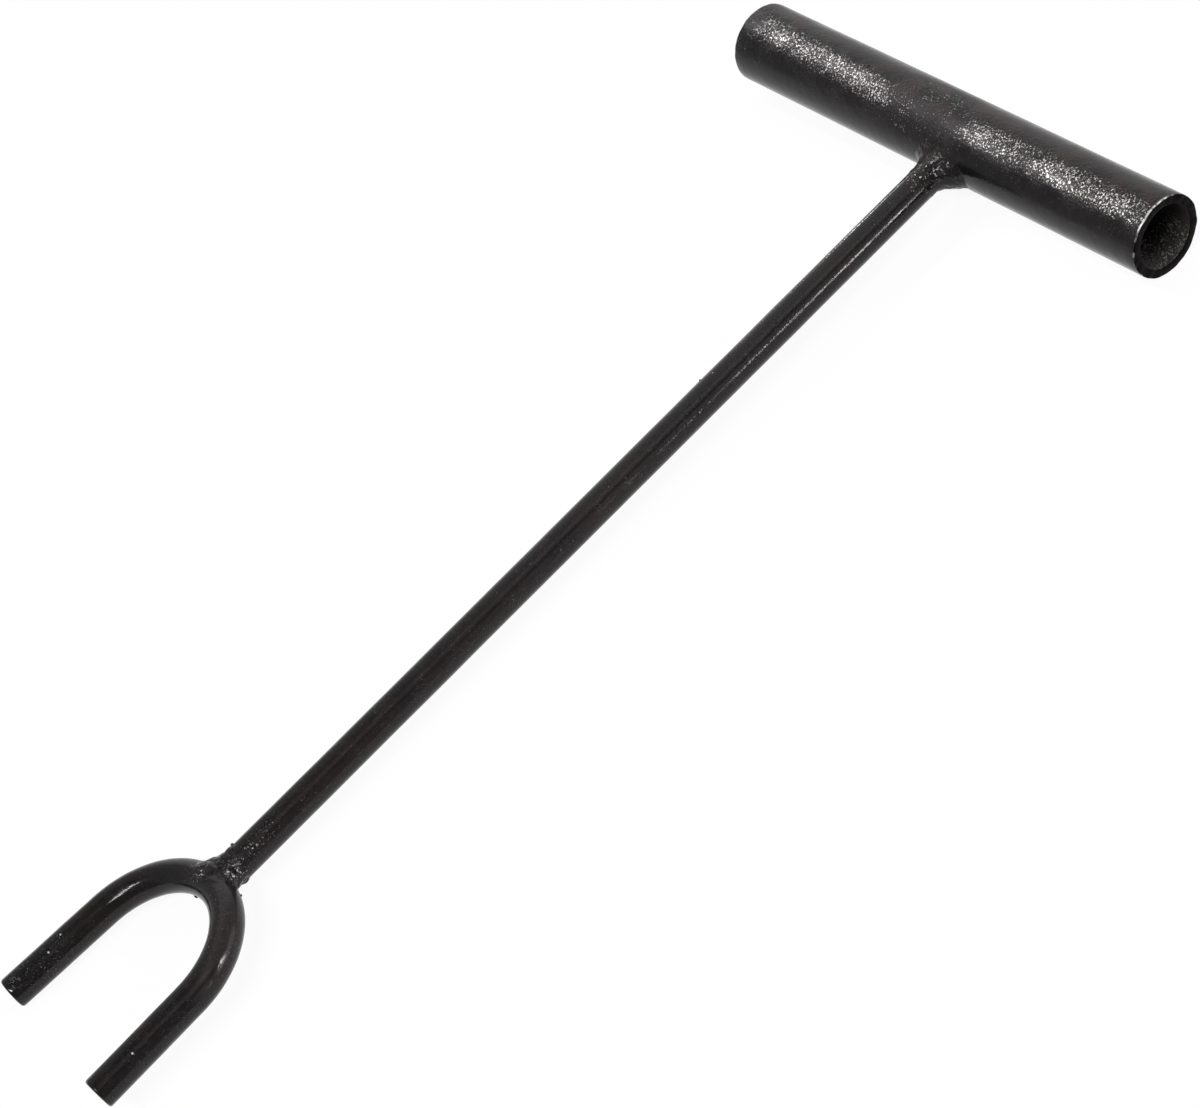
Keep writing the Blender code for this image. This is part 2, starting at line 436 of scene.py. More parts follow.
@dataclass(frozen=True)
class WeldMarksAndGlints:
    """What welding leaves in the paint: dull rings, and pale specks near the welds that are painted glints of
    light on the weld lumps and the bar.
    """

    # Pale colour of the painted glints near the welds.
    bright: Mark = Mark((0.72, 0.71, 0.70, 1.0), 0.40)
    rings: tuple[Spot, ...] = (
        Spot((0.0, -STOCK.tube, 0.0), 8.0 * MM, 26.0 * MM),
        Spot((-1.0 * MM, -STOCK.reach, 0.0), 9.0 * MM, 30.0 * MM),
    )
    glint_patches: tuple[SpeckPatch, ...] = (
        SpeckPatch(mm(2.2, -21.0, 4.6), 2.0 * MM, 7.0 * MM, 0.59, 1.0 * MM),
        SpeckPatch(mm(3.8, -310.0, 1.5), 1.5 * MM, 5.5 * MM, 0.58, 1.0 * MM),
        SpeckPatch(mm(-6.0, -316.0, 3.6), 2.0 * MM, 6.0 * MM, 0.62, 0.9 * MM),
    )
    glint_row: SpeckPatch = SpeckPatch(mm(2.6, -303.0, 4.3), 0.8 * MM, 3.2 * MM, 0.60, 0.7 * MM)
    glint_row_top: Span = mm(16.0, -1.0)
    glint_row_foot: Span = mm(-11.0, -4.0)

    def dress(self, coat: Coat) -> None:
        """Dulls the paint round the welds and scatters painted glints near them.

        Args:
            coat: The piece's coat.
        """
        for ring in self.rings:
            coat.heat(ring)
        for patch in self.glint_patches:
            coat.speck_patch(patch, self.bright)
        # Painted glints in a line along the bar just above the fork weld.
        x, y, z = coat.graph.parts(coat.where)
        glint_row = STOCK.laid(self.glint_row.middle)
        aside = ((x - glint_row.x) ** 2.0 + (z - glint_row.z) ** 2.0) ** 0.5
        along = (y - glint_row.y).fade(*self.glint_row_top) * (y - glint_row.y).fade(*self.glint_row_foot)
        mask = aside.fade(self.glint_row.far, self.glint_row.near) * along
        coat.specks(mask, self.glint_row.level, self.glint_row.size, self.bright)


def uneven(place: Vector, swells: Sequence[Span]) -> float:
    """Smooth unevenness at a place, from swells of some width and height."""
    return sum(height * noise.noise(place / width) for width, height in swells)


def add_object(name: str, data: bpy.types.ID) -> bpy.types.Object:
    """Adds an object to the scene.

    Args:
        name: Its name.
        data: Its mesh, light or camera.

    Returns:
        The object, at the origin.
    """
    made = bpy.data.objects.new(name, data)
    bpy.context.scene.collection.objects.link(made)
    return made


def add_mesh(name: str, bm: BMesh, finish: Optional[bpy.types.Material] = None) -> bpy.types.Object:
    """Turns a bmesh into an object.

    Args:
        name: Its name.
        bm: Its shape, which is freed.
        finish: Its material.

    Returns:
        The object.
    """
    mesh = bpy.data.meshes.new(name)
    bm.to_mesh(mesh)
    bm.free()
    if finish:
        mesh.materials.append(finish)
    return add_object(name, mesh)


def add_rod(bm: BMesh, radius: float, near: float, far: float, sides: int) -> None:
    """Adds a stretch of round bar on the shaft's line.

    Args:
        bm: The shape.
        radius: The bar's radius.
        near: Its first end's distance from the handle's middle line.
        far: Its other end's distance.
        sides: How many sides it has.
    """
    middle = Matrix.Translation((0.0, -(near + far) / 2, 0.0))
    bmesh.ops.create_cone(
        bm, cap_ends=True, segments=sides, radius1=radius, radius2=radius, depth=far - near,
        matrix=middle @ ALONG_SHAFT,
    )


def add_lump(bm: BMesh, middle: Sequence[float], size: Sequence[float]) -> None:
    """Adds a rounded lump with these half widths."""
    spread = Matrix.Translation(middle) @ Matrix.Diagonal((*size, 1.0))
    bmesh.ops.create_icosphere(bm, subdivisions=3, radius=1.0, matrix=spread)


def round_edges(bm: BMesh, edges: Sequence[BMEdge], width: float, steps: int) -> None:
    """Rounds edges over this width, in steps."""
    bmesh.ops.bevel(
        bm, geom=edges, offset=width, offset_type="OFFSET", segments=steps, profile=0.5,
        affect="EDGES", material=-1,
    )


def divide_long(bm: BMesh, longer: float, cuts: int) -> None:
    """Divides every edge that is longer than this."""
    edges = [e for e in bm.edges if e.calc_length() > longer]
    bmesh.ops.subdivide_edges(bm, edges=edges, cuts=cuts, use_grid_fill=True)


def pick(geom: Sequence[Any], kind: type) -> list[Any]:
    """The items of one kind among an operator's results."""
    return [item for item in geom if isinstance(item, kind)]


def ring_edges(bm: BMesh, along: Vector, at: float) -> list[BMEdge]:
    """Edges that lie in a plane across an axis, at a distance along it."""
    return [e for e in bm.edges if all(abs(v.co.dot(along) - at) < SLACK for v in e.verts)]


class Piece:
    """A piece of the tool, shaped in the tool's own axes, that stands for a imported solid."""

    name: ClassVar[str]
    node: ClassVar[Optional[str]] = None
    slot: ClassVar[str]

    def shape(self) -> BMesh:
        """The piece's shape."""
        raise NotImplementedError

    def dress(self, coat: Coat) -> None:
        """Marks the paint as on any piece that reaches a weld, with dull rings and painted glints."""
        WeldMarksAndGlints().dress(coat)

    def build(self, paint: BlackPaint) -> bpy.types.Object:
        """Makes the piece and lays it down on the tool.

        Args:
            paint: The paint that it is coated with.

        Returns:
            The piece.
        """
        bm = self.shape()
        bmesh.ops.remove_doubles(bm, verts=bm.verts, dist=SEAM)
        bmesh.ops.recalc_face_normals(bm, faces=bm.faces)
        if bm.calc_volume(signed=True) < 0.0:
            bmesh.ops.reverse_faces(bm, faces=bm.faces)
        bmesh.ops.transform(bm, matrix=STOCK.rest(), verts=bm.verts)
        piece = add_mesh(self.name, bm, paint.material(self.dress))
        piece.data.shade_smooth()
        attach(piece, BODY)
        if self.node:
            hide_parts(self.node)
        LOG.info("%s: %d faces", self.name, len(piece.data.polygons))
        return piece


@dataclass(frozen=True)
class TubePlace:
    """A place on the handle: along it, above its middle line, out from that line and round from its front."""

    x: Value
    up: Value
    radius: Value
    angle: Value

    @classmethod
    def of(cls, coat: Coat) -> "TubePlace":
        """Reads the place off the handle's coat.

        Args:
            coat: The handle's coat.

        Returns:
            The place.
        """
        x, y, z = coat.graph.parts(coat.where)
        middle = STOCK.laid(ORIGIN)
        across, up = y - middle.y, z - middle.z
        radius = (across ** 2.0 + up ** 2.0) ** 0.5
        return cls(x, up, radius, coat.graph.maths("ARCTAN2", up, 0.0 - across))


@dataclass(frozen=True)
class GripWearAndGlints:
    """Worn paint along the top of the handle, rubbed through to flecks of steel; the flecks are laid along
    the line of the grip's highlight and are partly painted glints standing in for it.
    """

    line: Span = (math.radians(62.0), math.radians(76.5))
    slant: Span = (math.radians(220.0), math.radians(60.0))
    swap: Span = mm(-28.0, -10.0)
    width: float = math.radians(27.0)
    start: Span = mm(3.0, 9.0)
    joint: Spot = Spot(mm(-8.5, -2.0, 12.0), 11.0 * MM, 21.0 * MM)
    drift_size: float = 6.0 * MM
    drift_sway: float = 0.5
    fleck_size: float = 0.62 * MM
    glint_size: float = 0.45 * MM
    worn: float = 0.85
    stray: float = 0.7
    # Steel colours of the flecks, mixed at random so that the painted glints vary in strength.
    dark: Colour = (0.04, 0.038, 0.038, 1.0)
    bright: Colour = (0.84, 0.81, 0.79, 1.0)
    steel_rough: float = 0.38
    tarnish: Mark = Mark((0.017, 0.0100, 0.0075, 1.0), 0.36)
    tarnish_share: float = 0.8
    back: Span = (2.10, 2.50)
    back_level: float = 0.61
    back_size: float = 0.6 * MM
    back_coarse: float = 0.30
    joint_dull: float = 0.14
    polish: float = 0.5

    def middle(self, along: Value) -> Value:
        """The angle round the tube of the worn flecks and painted glints, which follows the grip's highlight,
        with one slant on the left and another on the right.
        """
        left, right = (line - along * slant for line, slant in zip(self.line, self.slant))
        return left + along.fade(*self.swap) * (right - left)

    def dress(self, coat: Coat, at: TubePlace, half: float) -> None:
        """Rubs the grip into steel flecks that are partly painted glints along its highlight, polishes the
        flanks and specks the back.

        Args:
            coat: The handle's coat.
            at: The place on the handle.
            half: Half the handle's length.
        """
        drift = coat.cloud(self.drift_size, 3.0, 0.6)
        side = at.angle - self.middle(at.x + STOCK.off_centre)
        off = abs(side)
        handled = at.x.fade(self.start[0] - half, self.start[1] - half) * (1.0 - coat.spot(self.joint))
        band = (off + self.drift_sway * (drift - 0.5)).fade(self.width, 0.3 * self.width) * handled
        behind = abs(at.angle).fade(*self.back)
        coat.coarse = (off.fade(0.75, 0.40).between(0.10, 1.0) + self.back_coarse * behind) * coat.coarse
        coat.specks(behind * drift.fade(0.42, 0.60), self.back_level, self.back_size, coat.paint.dust)
        coat.rough = coat.rough + self.joint_dull * (1.0 - handled)
        coat.rough = coat.rough * (1.0 - self.polish * off.fade(0.75, 1.15))
        # Steel flecks: partly worn paint, partly painted glints, thickest along the line of the grip's
        # highlight.
        grit = coat.grit(self.fleck_size) + 0.10 * band + 0.25 * (drift - 0.5)
        rubbed = band.fade(0.0, 0.5).between(0.12, 1.0) * off.fade(0.95, 0.55) * handled
        fleck = grit.fade(0.615, 0.695) * rubbed
        stray = grit.fade(0.60, 0.68) * (off - 0.30).fade(0.60, 0.30) * (1.0 - handled)
        glint = coat.cloud(self.glint_size, 1.0, 0.5).fade(0.35, 0.65)
        steel = Mark(coat.graph.mixed(glint, self.dark, self.bright), self.steel_rough)
        coat.bare(fleck * self.worn + stray * self.stray, steel)
        tarnish = side.fade(-0.30, 0.25) * coat.patch.fade(0.42, 0.62) * (1.0 - band) * off.fade(1.15, 0.65)
        coat.stain(tarnish * self.tarnish_share, self.tarnish)


@dataclass(frozen=True)
class BoreSoilAndPaintedLight:
    """Dull scale all over the bore, and pale grit in its lower half that is partly painted light, standing in
    for glints where light reaches the lower wall.
    """

    scale: Mark = Mark((0.020, 0.018, 0.017, 1.0), 0.55)
    grit: Mark = Mark((0.25, 0.24, 0.23, 1.0), 0.45)
    grit_size: float = 0.62 * MM
    skin: Span = mm(0.30, 0.10)
    low: Span = mm(-1.0, -6.5)

    def dress(self, coat: Coat, at: TubePlace, bore: float) -> None:
        """Soils the bore and paints light on its lower wall.

        Args:
            coat: The handle's coat.
            at: The place on the handle.
            bore: The bore's radius.
        """
        inside = at.radius.fade(bore + self.skin[0], bore + self.skin[1])
        coat.stain(inside, self.scale)
        # Pale grit only in the lower half: partly dirt, partly painted light on the lower wall.
        grit = coat.grit(self.grit_size).fade(0.52, 0.66) * at.up.fade(*self.low)
        coat.stain(inside * grit * coat.patch.fade(0.28, 0.50), self.grit)


@dataclass(frozen=True)
class SawCut:
    """Saw-cut ends made near-black as painted shade, rims worn here and there, and a bright burr along the
    top of the right one that is partly a painted highlight.
    """

    # Painted shade: near-black metal for the cut faces, which reflects almost nothing.
    face: Mark = Mark((0.0030, 0.0028, 0.0030, 1.0), 0.62)
    # Bright steel of the burr, partly a painted highlight.
    burr: Mark = Mark((0.62, 0.60, 0.59, 1.0), 0.30)
    worn: Mark = Mark((0.40, 0.39, 0.38, 1.0), 0.35)
    worn_share: float = 0.6
    face_depth: Span = mm(0.22, 0.10)
    rim_depth: Span = mm(0.60, 0.35)
    rim_skin: Span = mm(0.34, 0.16)
    burr_angle: float = math.radians(82.0)
    ragged_size: float = 1.6 * MM
    ragged_sway: float = 0.5

    def dress(self, coat: Coat, at: TubePlace, half: float) -> None:
        """Blackens the cut faces as painted shade and bares their rims.

        Args:
            coat: The handle's coat.
            at: The place on the handle.
            half: Half the handle's length.
        """
        end = abs(at.x)
        # Painted shade: the cut faces are kept dark as if in shade.
        coat.bare(end.fade(half - self.face_depth[0], half - self.face_depth[1]), self.face)
        ragged = coat.cloud(self.ragged_size, 3.0, 0.7)
        top = abs(at.angle - self.burr_angle) + self.ragged_sway * (ragged - 0.5)
        skin = at.radius.fade(STOCK.tube - self.rim_skin[0], STOCK.tube - self.rim_skin[1])
        right, both = (x.fade(half - self.rim_depth[0], half - self.rim_depth[1]) * skin for x in (at.x, end))
        # Partly painted highlight: bright steel along the top of the right rim is a real burr that also
        # stands in for the rim's glint.
        coat.bare(right * top.fade(0.64, 0.50) * ragged.fade(0.36, 0.58), self.burr)
        coat.bare(both * top.fade(0.55, 0.75) * ragged.fade(0.52, 0.62) * self.worn_share, self.worn)


@dataclass
class Handle(Piece):
    """The tube handle, saw-cut at both ends."""

    name = "handle_tube_painted"
    node = "handle_tube"
    slot = "handle_paint"

    length: float = 174.8 * MM
    wall: float = 2.8 * MM
    edge: float = 0.35 * MM
    edge_steps: int = 3
    sides: int = 160
    cuts: int = 46
    burr: float = 0.30 * MM
    burr_size: float = 2.2 * MM
    burr_lift: float = 0.12
    sway: Span = mm(22.0, 0.05)
    sway_shift: Place = (0.3, 0.0, 0.0)
    wear_and_glints: GripWearAndGlints = GripWearAndGlints()
    soil_and_light: BoreSoilAndPaintedLight = BoreSoilAndPaintedLight()
    saw_cut: SawCut = SawCut()
    rust: tuple[tuple[Spot, Mark], ...] = (
        (Spot(mm(-38.7, 1.0, 12.9), 0.60 * MM, 1.30 * MM), Mark((0.050, 0.022, 0.013, 1.0), 0.75)),
        (Spot(mm(-38.7, 1.0, 12.9), 0.45 * MM, 0.80 * MM), Mark((0.004, 0.003, 0.003, 1.0), 0.75)),
    )

    def shape(self) -> BMesh:
        """Spins the wall's section about the handle and works its ends.

        Returns:
            The tube.
        """
        bm = bmesh.new()
        half = self.length / 2
        bore = STOCK.tube - self.wall
        section = [(-half, bore), (-half, STOCK.tube), (half, STOCK.tube), (half, bore)]
        corners = [bm.verts.new((x + STOCK.off_centre, radius, 0.0)) for x, radius in section]
        sides = [bm.edges.new(pair) for pair in zip(corners, corners[1:] + corners[:1])]
        bmesh.ops.spin(
            bm, geom=corners + sides, cent=ORIGIN, axis=Axis.HANDLE.value, angle=2 * math.pi,
            steps=self.sides, use_merge=True,
        )
        bmesh.ops.remove_doubles(bm, verts=bm.verts, dist=MERGE)
        ends = [e for x in (-half, half) for e in ring_edges(bm, Axis.HANDLE.value, x + STOCK.off_centre)]
        rims = [e for e in ends if abs(e.verts[0].co.yz.length - e.verts[1].co.yz.length) < self.wall / 2]
        round_edges(bm, rims, self.edge, self.edge_steps)
        divide_long(bm, half, self.cuts)
        self.work_ends(bm, half)
        return bm

    def work_ends(self, bm: BMesh, half: float) -> None:
        """Raises a ragged saw burr on the rims and dents the tube a hair out of true.

        Args:
            bm: The tube.
            half: Half the tube's length.
        """
        for vertex in bm.verts:
            along = vertex.co.x - STOCK.off_centre
            out = Vector((0.0, vertex.co.y, vertex.co.z))
            if out.length > STOCK.tube - self.wall / 2:
                vertex.co += out.normalized() * uneven(vertex.co + Vector(self.sway_shift), [self.sway])
            if abs(along) > half - 0.6 * self.edge:
                ragged = max(0.0, noise.noise(vertex.co / self.burr_size) + self.burr_lift)
                vertex.co.x += math.copysign(self.burr * ragged, along)

    def dress(self, coat: Coat) -> None:
        """Rubs the grip into steel flecks that are partly painted glints, soils the bore and paints light on
        its lower wall, marks the saw cuts with painted shade on their faces and a burr that is partly a
        painted highlight, and spots the paint with rust.

        Args:
            coat: The handle's coat.
        """
        at = TubePlace.of(coat)
        self.wear_and_glints.dress(coat, at, self.length / 2)
        self.soil_and_light.dress(coat, at, STOCK.tube - self.wall)
        self.saw_cut.dress(coat, at, self.length / 2)
        for spot, mark in self.rust:
            coat.stain(coat.spot(spot), mark)


@dataclass
class Shaft(Piece):
    """The straight round bar between the handle and the fork."""

    name = "shaft_rod_painted"
    node = "shaft_rod"
    slot = "shaft_paint"

    top: float = 11.6 * MM
    sides: int = 72
    cuts: int = 150
    edge: float = 0.30 * MM
    edge_steps: int = 2
    gap: float = 0.3 * MM
    short: float = 3.2 * MM
    skew: float = 0.10
    core: float = 1.4 * MM
    swells: tuple[Span, ...] = (mm(18.0, 0.05), mm(5.0, 0.008))

    def shape(self) -> BMesh:
        """Draws the bar from the tube's wall to its saw cut, with a thinner core sunk in the fork's weld.

        Returns:
            The bar.
        """
        bm = bmesh.new()
        end = STOCK.reach - STOCK.bar - self.gap - self.short
        add_rod(bm, STOCK.bar, self.top, end, self.sides)
        rim = [e for e in ring_edges(bm, Axis.SHAFT.value, -end) if len(e.link_faces) == 2]
        round_edges(bm, rim, self.edge, self.edge_steps)
        divide_long(bm, 2 * STOCK.bar, self.cuts)
        for vertex in bm.verts:
            out = Vector((vertex.co.x, 0.0, vertex.co.z))
            if out.length > STOCK.bar / 2:
                vertex.co += out.normalized() * uneven(vertex.co, self.swells)
            if vertex.co.y < -end + STOCK.bar / 2:
                vertex.co.y += self.skew * vertex.co.x
        cut = min(bm.faces, key=lambda face: face.calc_center_median().y)
        bmesh.ops.inset_individual(bm, faces=[cut], thickness=self.core)
        sunk = bmesh.ops.extrude_discrete_faces(bm, faces=[cut])["faces"]
        bmesh.ops.translate(bm, vec=(0.0, -self.short, 0.0), verts=sunk[0].verts)
        return bm


@dataclass
class Fork(Piece):
    """The bar bent into a U with blunt prongs."""

    name = "fork_prongs_painted"
    node = "fork_prongs"
    slot = "fork_paint"

    bend: float = 27.7 * MM
    sweep: float = math.radians(174.9)
    prong: float = 35.1 * MM
    edge: float = 0.8 * MM
    edge_steps: int = 4
    roll: float = math.radians(-7.9)
    tilt: float = math.radians(-1.44)
    sides: int = 72
    steps: int = 40
    cuts: int = 24
    swells: tuple[Span, ...] = (mm(14.0, 0.05), mm(4.0, 0.02))
    specked: SpeckPatch = SpeckPatch(mm(-28.0, -364.0, 3.0), 5.0 * MM, 14.0 * MM, 0.61, 0.6 * MM)
    puckered: Spot = Spot(mm(-28.4, -373.8, 0.5), 0.8 * MM, 2.8 * MM)
    chip_size: float = 0.55 * MM
    chips: tuple[Place, ...] = (
        mm(-28.7, -355.7, 0.95),
        mm(-27.4, -361.6, 0.5),
        mm(29.6, -364.3, 8.1),
        mm(28.2, -370.5, 8.0),
    )

    def place(self) -> Matrix:
        """The fork's axes, crown at the origin and prongs along -Y, in the tool's."""
        down = Matrix.Translation((0.0, -STOCK.reach, 0.0))
        return down @ Matrix.Rotation(self.roll, 4, "Y") @ Matrix.Rotation(self.tilt, 4, "Z")

    def shape(self) -> BMesh:
        """Spins half the bend from the crown, draws out its prong, and mirrors it.

        Returns:
            The fork.
        """
        bm = bmesh.new()
        ring = bmesh.ops.create_circle(
            bm, segments=self.sides, radius=STOCK.bar, matrix=ALONG_HANDLE
        )["verts"]
        loop = list({e for v in ring for e in v.link_edges})
        half = self.sweep / 2
        spun = bmesh.ops.spin(
            bm, geom=ring + loop, cent=(0.0, -self.bend, 0.0), axis=Axis.UP.value, angle=-half,
            steps=self.steps,
        )["geom_last"]
        draw = Vector((math.cos(half), -math.sin(half), 0.0))
        drawn = bmesh.ops.extrude_edge_only(bm, edges=pick(spun, BMEdge))["geom"]
        moved = pick(drawn, BMVert)
        bmesh.ops.translate(bm, vec=draw * self.prong, verts=moved)
        tip = [e for e in pick(drawn, BMEdge) if all(v in moved for v in e.verts)]
        bmesh.ops.edgeloop_fill(bm, edges=tip)
        round_edges(bm, tip, self.edge, self.edge_steps)
        divide_long(bm, self.prong / 2, self.cuts)
        bmesh.ops.mirror(bm, geom=bm.verts[:] + bm.edges[:] + bm.faces[:], axis="X", merge_dist=MERGE)
        bmesh.ops.transform(bm, matrix=self.place(), verts=bm.verts)
        bmesh.ops.recalc_face_normals(bm, faces=bm.faces)
        bm.normal_update()
        for vertex in bm.verts:
            vertex.co += vertex.normal * uneven(vertex.co, self.swells)
        return bm

    def dress(self, coat: Coat) -> None:
        """Marks the paint near the weld with dull rings and painted glints, specks the prongs and puckers the
        left tip.

        Args:
            coat: The fork's coat.
        """
        super().dress(coat)
        coat.speck_patch(self.specked, coat.paint.dust)
        coat.chips(self.chips, self.chip_size)
        coat.wrinkle(self.puckered)


@dataclass
class Bead(Piece):
    """A weld bead: rough shapes fused into one skin that flows, and is sunk out of sight off the joint."""

    voxel: float = 0.30 * MM
    smooth: int = 22
    swell: float = 0.16 * MM
    lumps: float = 0.20 * MM
    lump_swells: tuple[Span, ...] = ((2.3 * MM, 1.0), (1.0 * MM, 0.7))
    sunk: float = 0.45 * MM
    heart: Place = ORIGIN
    axis_weights: Place = (1.0, 1.0, 1.0)
    near: float = 6.0 * MM
    far: float = 11.0 * MM
    sides: int = 64

    def rough_shape(self) -> BMesh:
        """The shapes to fuse, in the bead's own axes."""
        raise NotImplementedError

    def nearness(self, place: Vector) -> float:
        """How near the joint's heart a place is, from 0 at the far distance to 1 at the near one."""
        away = ((place - Vector(self.heart)) * Vector(self.axis_weights)).length
        return min(1.0, max(0.0, (self.far - away) / (self.far - self.near)))

    def place(self) -> Matrix:
        """The bead's own axes in the tool's, which are the same unless a bead says otherwise."""
        return Matrix.Identity(4)

    def shape(self) -> BMesh:
        """Fuses the rough shapes and lets them flow.

        Returns:
            The bead.
        """
        bm = self.rough_shape()
        bmesh.ops.recalc_face_normals(bm, faces=bm.faces)
        holder = add_mesh("weld_rough", bm)
        fuse = holder.modifiers.new("fuse", "REMESH")
        fuse.mode = "VOXEL"
        fuse.voxel_size = self.voxel
        bpy.context.view_layer.update()
        fused = holder.evaluated_get(bpy.context.evaluated_depsgraph_get())
        skin = bpy.data.meshes.new_from_object(fused)
        bpy.data.objects.remove(holder)
        bm = bmesh.new()
        bm.from_mesh(skin)
        for _ in range(self.smooth):
            bmesh.ops.smooth_vert(
                bm, verts=bm.verts, factor=0.5, use_axis_x=True, use_axis_y=True, use_axis_z=True
            )
        bm.normal_update()
        for vertex in bm.verts:
            near = self.nearness(vertex.co)
            proud = self.swell + self.lumps * uneven(vertex.co, self.lump_swells)
            vertex.co += vertex.normal * (near * proud - (1.0 - near) * self.sunk)
        bmesh.ops.transform(bm, matrix=self.place(), verts=bm.verts)
        return bm


@dataclass
class HandleWeld(Bead):
    """The fillet that joins the shaft to the tube, hollow on the left and straight-faced on the right."""

    name = "handle_weld_bead"
    node = "handle_weld"
    slot = "handle_weld_paint"

    near: float = 9.0 * MM
    far: float = 14.5 * MM
    smooth: int = 12
    swell: float = 0.10 * MM
    heart: Place = (1.0 * MM, -STOCK.tube, 0.0)
    up: float = 5.5 * MM
    left: float = 5.5 * MM
    right: float = 7.4 * MM
    side: float = 3.6 * MM
    toe: float = 0.25 * MM
    ring_sides: int = 96
    steps: int = 10
    plate: float = 17.0 * MM
    plate_depth: float = 1.7 * MM
    plate_turn: float = math.radians(70.0)
    plate_steps: int = 48
    stub: float = 27.0 * MM
    root: float = 1.5 * MM
    shy: float = 0.04 * MM
    foot: float = 0.8 * MM

    def leg(self, turn: float) -> float:
        """The fillet's foot at this angle round the shaft."""
        end = self.right if math.cos(turn) > 0 else self.left
        return self.side + (end - self.side) * math.cos(turn) ** 2

    def point(self, turn: float, step: float) -> Vector:
        """A point of the fillet's face.

        Args:
            turn: Angle round the shaft.
            step: From 0 on the shaft to 1 at the foot.

        Returns:
            The point in the tool's axes.
        """
        start = STOCK.bar - self.toe / 2
        leg = self.leg(turn)
        foot = (start + leg) * math.sin(turn)
        low = math.sqrt(STOCK.tube ** 2 - foot ** 2) - self.toe / 2
        high = STOCK.tube + self.up
        share = step * math.pi / 2
        flat = max(0.0, math.cos(turn))
        reach = start + leg * (flat * step + (1.0 - flat) * (1 - math.cos(share)))
        drop = high + (low - high) * (flat * step + (1.0 - flat) * math.sin(share))
        return Vector((reach * math.cos(turn), -drop, reach * math.sin(turn)))

    def rough_shape(self) -> BMesh:
        """Sets out a stub of the shaft, a patch of the tube's wall and the fillet.

        Returns:
            The shapes, overlapping.
        """
        bm = bmesh.new()
        add_rod(bm, STOCK.bar - self.shy, STOCK.tube - self.root, self.stub, self.sides)
        inner, outer = STOCK.tube - self.plate_depth, STOCK.tube - self.shy
        wall = ((-self.plate, inner), (self.plate, inner), (self.plate, outer), (-self.plate, outer))
        tilt = Matrix.Rotation(-self.plate_turn, 4, "X")
        corners = [bm.verts.new(tilt @ Vector((x, -out, 0.0))) for x, out in wall]
        patch = bm.faces.new(corners)
        bmesh.ops.spin(
            bm, geom=[*corners, *patch.edges, patch], cent=ORIGIN, axis=Axis.HANDLE.value,
            angle=2 * self.plate_turn, steps=self.plate_steps,
        )
        self.add_fillet(bm)
        return bm

    def add_fillet(self, bm: BMesh) -> None:
        """Draws a ring down the fillet's face step by step, and gathers it in under the foot.

        Args:
            bm: The rough shapes so far.
        """
        ring = bmesh.ops.create_circle(
            bm, cap_ends=True, segments=self.ring_sides, radius=STOCK.bar, matrix=ALONG_SHAFT
        )["verts"]
        for step in range(self.steps + 1):
            for vertex in ring:
                vertex.co = self.point(math.atan2(vertex.co.z, vertex.co.x), step / self.steps)
            ring = self.draw_ring(bm, ring)
        bmesh.ops.translate(bm, vec=(0.0, self.foot, 0.0), verts=ring)
        hub = (0.0, -STOCK.tube + 1.5 * self.foot, 0.0)
        bmesh.ops.pointmerge(bm, verts=self.draw_ring(bm, ring), merge_co=hub)

    @staticmethod
    def draw_ring(bm: BMesh, ring: Sequence[BMVert]) -> list[BMVert]:
        """Draws a new ring of vertices out of one.

        Args:
            bm: The shape.
            ring: The ring to start from.

        Returns:
            The new ring, in the same place.
        """
        edges = [e for e in {e for v in ring for e in v.link_edges} if all(v in ring for v in e.verts)]
        return pick(bmesh.ops.extrude_edge_only(bm, edges=edges)["geom"], BMVert)


